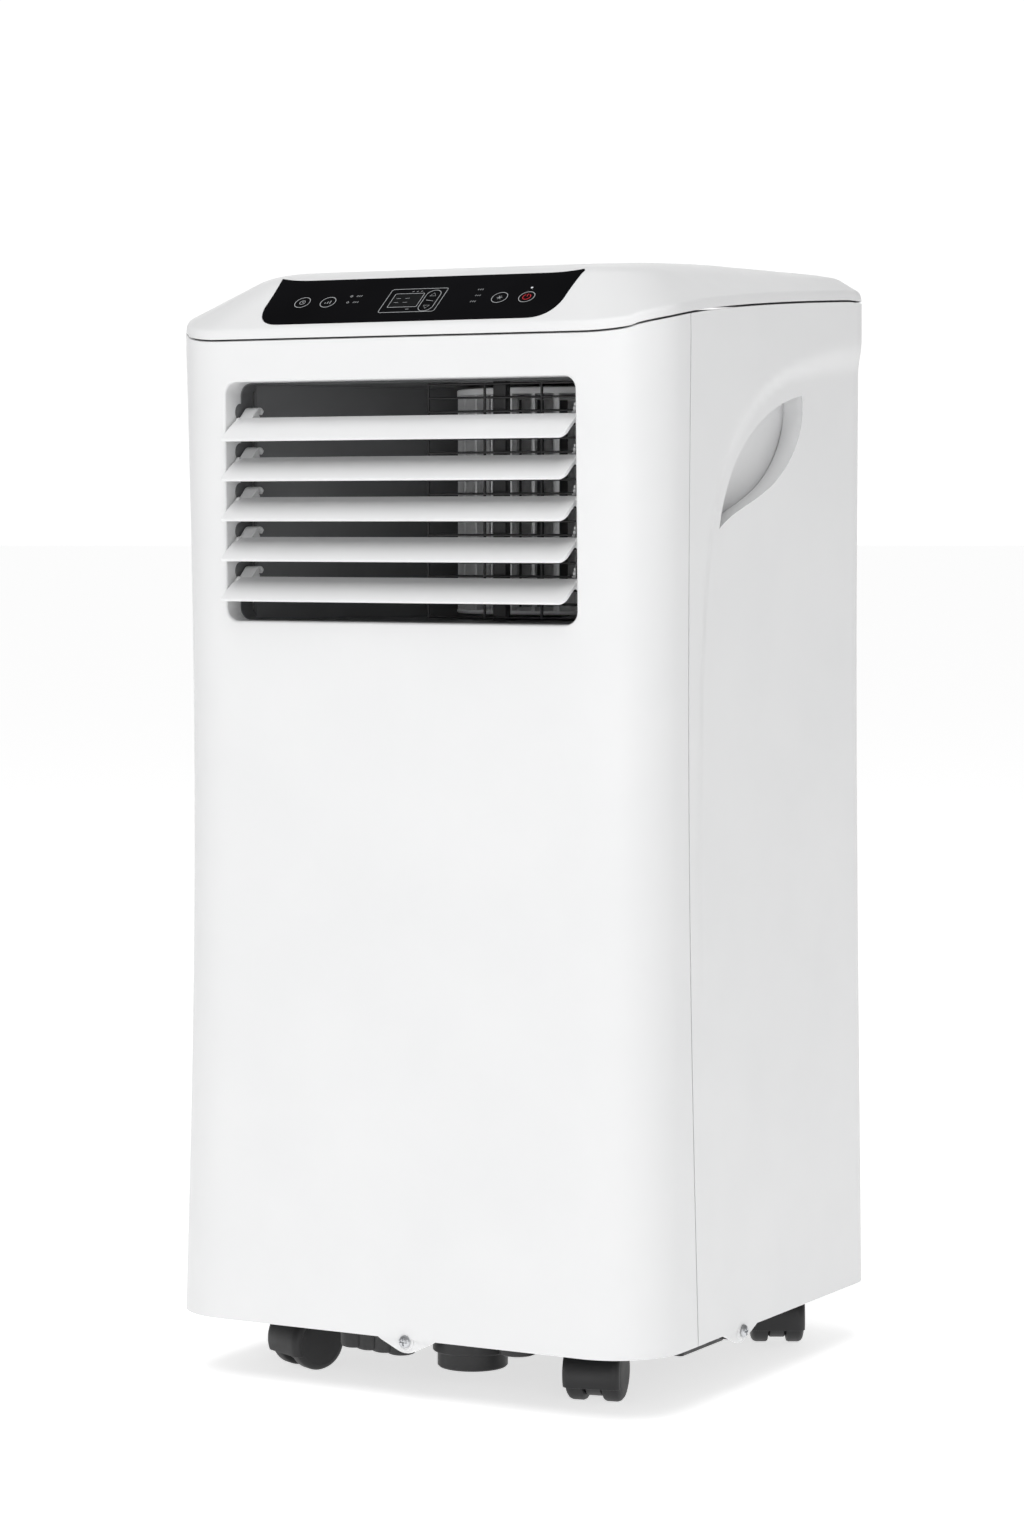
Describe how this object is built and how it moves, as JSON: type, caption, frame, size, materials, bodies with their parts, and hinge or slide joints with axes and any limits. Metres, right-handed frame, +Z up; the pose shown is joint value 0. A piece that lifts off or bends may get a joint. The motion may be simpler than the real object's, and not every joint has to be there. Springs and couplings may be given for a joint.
{
  "type": "portable air conditioner",
  "caption": "Free-standing room air conditioner on casters: waisted white cabinet, tilting louvres under a sloped key panel, side hand grips, rear filter grille and exhaust collar.",
  "frame": {"origin": "on the floor, at the centre of the overall footprint", "axes": "+Z up, -Y out of the louvred front, +X to the right as seen from the front"},
  "size_m": [0.3524, 0.3551, 0.703],
  "materials": {
    "white_abs": "fine satin moulding",
    "gloss_black": "polished black film",
    "smoked_window": "smoked clear window",
    "black_plastic": "satin black moulding",
    "caster_tread": "hard nylon wheel",
    "dark_plastic": "dark grey moulding",
    "grey_plastic": "light grey glass-filled plastic",
    "bare_steel": "plain steel",
    "zinc_steel": "zinc plated",
    "coil_aluminium": "thin bare fins",
    "copper_pipe": "drawn copper",
    "black_enamel": "black baked paint",
    "circuit_board": "solder mask",
    "filter_mesh": "woven nylon net in a frame"
  },
  "bodies": {
    "cabinet": {"front_shell": "white_abs", "rear_shell": "white_abs", "lug_screw_front": "zinc_steel", "lug_screw_right": "zinc_steel", "lug_screw_left": "zinc_steel", "top_lid": "white_abs", "control_overlay": "gloss_black", "display_window": "smoked_window", "control_board": "circuit_board", "outlet_guard": "black_plastic", "blower_scroll": "dark_plastic", "blower_motor": "bare_steel", "evaporator": "coil_aluminium", "condenser": "coil_aluminium", "compressor": "black_enamel", "accumulator": "black_enamel", "suction_pipe": "copper_pipe", "discharge_pipe": "copper_pipe", "exhaust_fan_housing": "dark_plastic", "exhaust_fan_motor": "bare_steel", "exhaust_collar": "white_abs", "lower_intake_grille": "white_abs", "cord_gland": "black_plastic", "base_pan": "black_plastic", "mid_deck": "dark_plastic", "electrical_box": "zinc_steel"},
    "key_timer": {"key_timer": "gloss_black"},
    "key_speed": {"key_speed": "gloss_black"},
    "key_up": {"key_up": "gloss_black"},
    "key_down": {"key_down": "gloss_black"},
    "key_mode": {"key_mode": "gloss_black"},
    "key_power": {"key_power": "gloss_black"},
    "louvre_1": {"louvre_1": "white_abs"},
    "louvre_2": {"louvre_2": "white_abs"},
    "louvre_3": {"louvre_3": "white_abs"},
    "louvre_4": {"louvre_4": "white_abs"},
    "louvre_5": {"louvre_5": "white_abs"},
    "louvre_link": {"louvre_link": "black_plastic"},
    "blower_wheel": {"blower_wheel": "grey_plastic"},
    "exhaust_fan_wheel": {"exhaust_fan_wheel": "grey_plastic"},
    "filter_panel": {"upper_intake_grille": "white_abs", "filter_net": "filter_mesh"},
    "upper_drain_cap": {"upper_drain_cap": "white_abs"},
    "lower_drain_cap": {"lower_drain_cap": "white_abs"},
    "caster_front_left": {"caster_hood_front_left": "black_plastic", "caster_axle_front_left": "bare_steel"},
    "wheel_front_left_a": {"caster_wheel_front_left_a": "caster_tread"},
    "wheel_front_left_b": {"caster_wheel_front_left_b": "caster_tread"},
    "caster_front_right": {"caster_hood_front_right": "black_plastic", "caster_axle_front_right": "bare_steel"},
    "wheel_front_right_a": {"caster_wheel_front_right_a": "caster_tread"},
    "wheel_front_right_b": {"caster_wheel_front_right_b": "caster_tread"},
    "caster_rear_left": {"caster_hood_rear_left": "black_plastic", "caster_axle_rear_left": "bare_steel"},
    "wheel_rear_left_a": {"caster_wheel_rear_left_a": "caster_tread"},
    "wheel_rear_left_b": {"caster_wheel_rear_left_b": "caster_tread"},
    "caster_rear_right": {"caster_hood_rear_right": "black_plastic", "caster_axle_rear_right": "bare_steel"},
    "wheel_rear_right_a": {"caster_wheel_rear_right_a": "caster_tread"},
    "wheel_rear_right_b": {"caster_wheel_rear_right_b": "caster_tread"}
  },
  "joints": [
    {"name": "louvre_1_tilt", "type": "hinge", "parent": "cabinet", "child": "louvre_1", "pos_m": [0, -0.15765, 0.5021], "axis": [-1, 0, 0], "range_deg": [-25, 40]},
    {"name": "louvre_2_tilt", "type": "hinge", "parent": "cabinet", "child": "louvre_2", "pos_m": [0, -0.15765, 0.5271], "axis": [-1, 0, 0], "range_deg": [-25, 40]},
    {"name": "louvre_3_tilt", "type": "hinge", "parent": "cabinet", "child": "louvre_3", "pos_m": [0, -0.15765, 0.5521], "axis": [-1, 0, 0], "range_deg": [-25, 40]},
    {"name": "louvre_4_tilt", "type": "hinge", "parent": "cabinet", "child": "louvre_4", "pos_m": [0, -0.15765, 0.5771], "axis": [-1, 0, 0], "range_deg": [-25, 40]},
    {"name": "louvre_5_tilt", "type": "hinge", "parent": "cabinet", "child": "louvre_5", "pos_m": [0, -0.15765, 0.6021], "axis": [-1, 0, 0], "range_deg": [-25, 40]},
    {"name": "louvre_link_swing", "type": "hinge", "parent": "louvre_1", "child": "louvre_link", "pos_m": [0.1156, -0.14665, 0.5086], "axis": [-1, 0, 0], "range_deg": [-40, 25]},
    {"name": "key_timer_press", "type": "slide", "parent": "cabinet", "child": "key_timer", "axis": [0, 0.6214, -0.7835], "range_m": [0, 0.0005], "stiffness_N_per_m": 800},
    {"name": "key_speed_press", "type": "slide", "parent": "cabinet", "child": "key_speed", "axis": [0, 0.6214, -0.7835], "range_m": [0, 0.0005], "stiffness_N_per_m": 800},
    {"name": "key_up_press", "type": "slide", "parent": "cabinet", "child": "key_up", "axis": [0, 0.6214, -0.7835], "range_m": [0, 0.0005], "stiffness_N_per_m": 800},
    {"name": "key_down_press", "type": "slide", "parent": "cabinet", "child": "key_down", "axis": [0, 0.6214, -0.7835], "range_m": [0, 0.0005], "stiffness_N_per_m": 800},
    {"name": "key_mode_press", "type": "slide", "parent": "cabinet", "child": "key_mode", "axis": [0, 0.6214, -0.7835], "range_m": [0, 0.0005], "stiffness_N_per_m": 800},
    {"name": "key_power_press", "type": "slide", "parent": "cabinet", "child": "key_power", "axis": [0, 0.6214, -0.7835], "range_m": [0, 0.0005], "stiffness_N_per_m": 800},
    {"name": "blower_spin", "type": "hinge", "parent": "cabinet", "child": "blower_wheel", "pos_m": [0.046, -0.022, 0.553], "axis": [0, 0, 1], "continuous": true},
    {"name": "exhaust_fan_spin", "type": "hinge", "parent": "cabinet", "child": "exhaust_fan_wheel", "pos_m": [0, 0.086, 0.326], "axis": [0, 1, 0], "continuous": true},
    {"name": "filter_panel_pull", "type": "slide", "parent": "cabinet", "child": "filter_panel", "axis": [0, 1, 0], "range_m": [0, 0.04]},
    {"name": "upper_drain_cap_pull", "type": "slide", "parent": "cabinet", "child": "upper_drain_cap", "axis": [0, 1, 0], "range_m": [0, 0.018]},
    {"name": "lower_drain_cap_pull", "type": "slide", "parent": "cabinet", "child": "lower_drain_cap", "axis": [0, 1, 0], "range_m": [0, 0.018]},
    {"name": "caster_front_left_swivel", "type": "hinge", "parent": "cabinet", "child": "caster_front_left", "pos_m": [-0.11, -0.117, 0.036], "axis": [0, 0, 1], "continuous": true},
    {"name": "wheel_front_left_a_roll", "type": "hinge", "parent": "caster_front_left", "child": "wheel_front_left_a", "pos_m": [-0.1043, -0.10532, 0.018], "axis": [0.8988, -0.4384, 0], "continuous": true},
    {"name": "wheel_front_left_b_roll", "type": "hinge", "parent": "caster_front_left", "child": "wheel_front_left_b", "pos_m": [-0.1043, -0.10532, 0.018], "axis": [0.8988, -0.4384, 0], "continuous": true},
    {"name": "caster_front_right_swivel", "type": "hinge", "parent": "cabinet", "child": "caster_front_right", "pos_m": [0.108, -0.117, 0.036], "axis": [0, 0, 1], "continuous": true},
    {"name": "wheel_front_right_a_roll", "type": "hinge", "parent": "caster_front_right", "child": "wheel_front_right_a", "pos_m": [0.10486, -0.10439, 0.018], "axis": [0.9703, 0.2419, 0], "continuous": true},
    {"name": "wheel_front_right_b_roll", "type": "hinge", "parent": "caster_front_right", "child": "wheel_front_right_b", "pos_m": [0.10486, -0.10439, 0.018], "axis": [0.9703, 0.2419, 0], "continuous": true},
    {"name": "caster_rear_left_swivel", "type": "hinge", "parent": "cabinet", "child": "caster_rear_left", "pos_m": [-0.13, 0.101, 0.036], "axis": [0, 0, 1], "continuous": true},
    {"name": "wheel_rear_left_a_roll", "type": "hinge", "parent": "caster_rear_left", "child": "wheel_rear_left_a", "pos_m": [-0.13529, 0.11288, 0.018], "axis": [0.9135, 0.4067, 0], "continuous": true},
    {"name": "wheel_rear_left_b_roll", "type": "hinge", "parent": "caster_rear_left", "child": "wheel_rear_left_b", "pos_m": [-0.13529, 0.11288, 0.018], "axis": [0.9135, 0.4067, 0], "continuous": true},
    {"name": "caster_rear_right_swivel", "type": "hinge", "parent": "cabinet", "child": "caster_rear_right", "pos_m": [0.13, 0.101, 0.036], "axis": [0, 0, 1], "continuous": true},
    {"name": "wheel_rear_right_a_roll", "type": "hinge", "parent": "caster_rear_right", "child": "wheel_rear_right_a", "pos_m": [0.1239, 0.11248, 0.018], "axis": [0.8829, 0.4695, 0], "continuous": true},
    {"name": "wheel_rear_right_b_roll", "type": "hinge", "parent": "caster_rear_right", "child": "wheel_rear_right_b", "pos_m": [0.1239, 0.11248, 0.018], "axis": [0.8829, 0.4695, 0], "continuous": true}
  ],
  "couplings": [
    {"joint": "louvre_2_tilt", "follows": "louvre_1_tilt", "ratio": 1},
    {"joint": "louvre_3_tilt", "follows": "louvre_1_tilt", "ratio": 1},
    {"joint": "louvre_4_tilt", "follows": "louvre_1_tilt", "ratio": 1},
    {"joint": "louvre_5_tilt", "follows": "louvre_1_tilt", "ratio": 1},
    {"joint": "louvre_link_swing", "follows": "louvre_1_tilt", "ratio": -1}
  ]
}
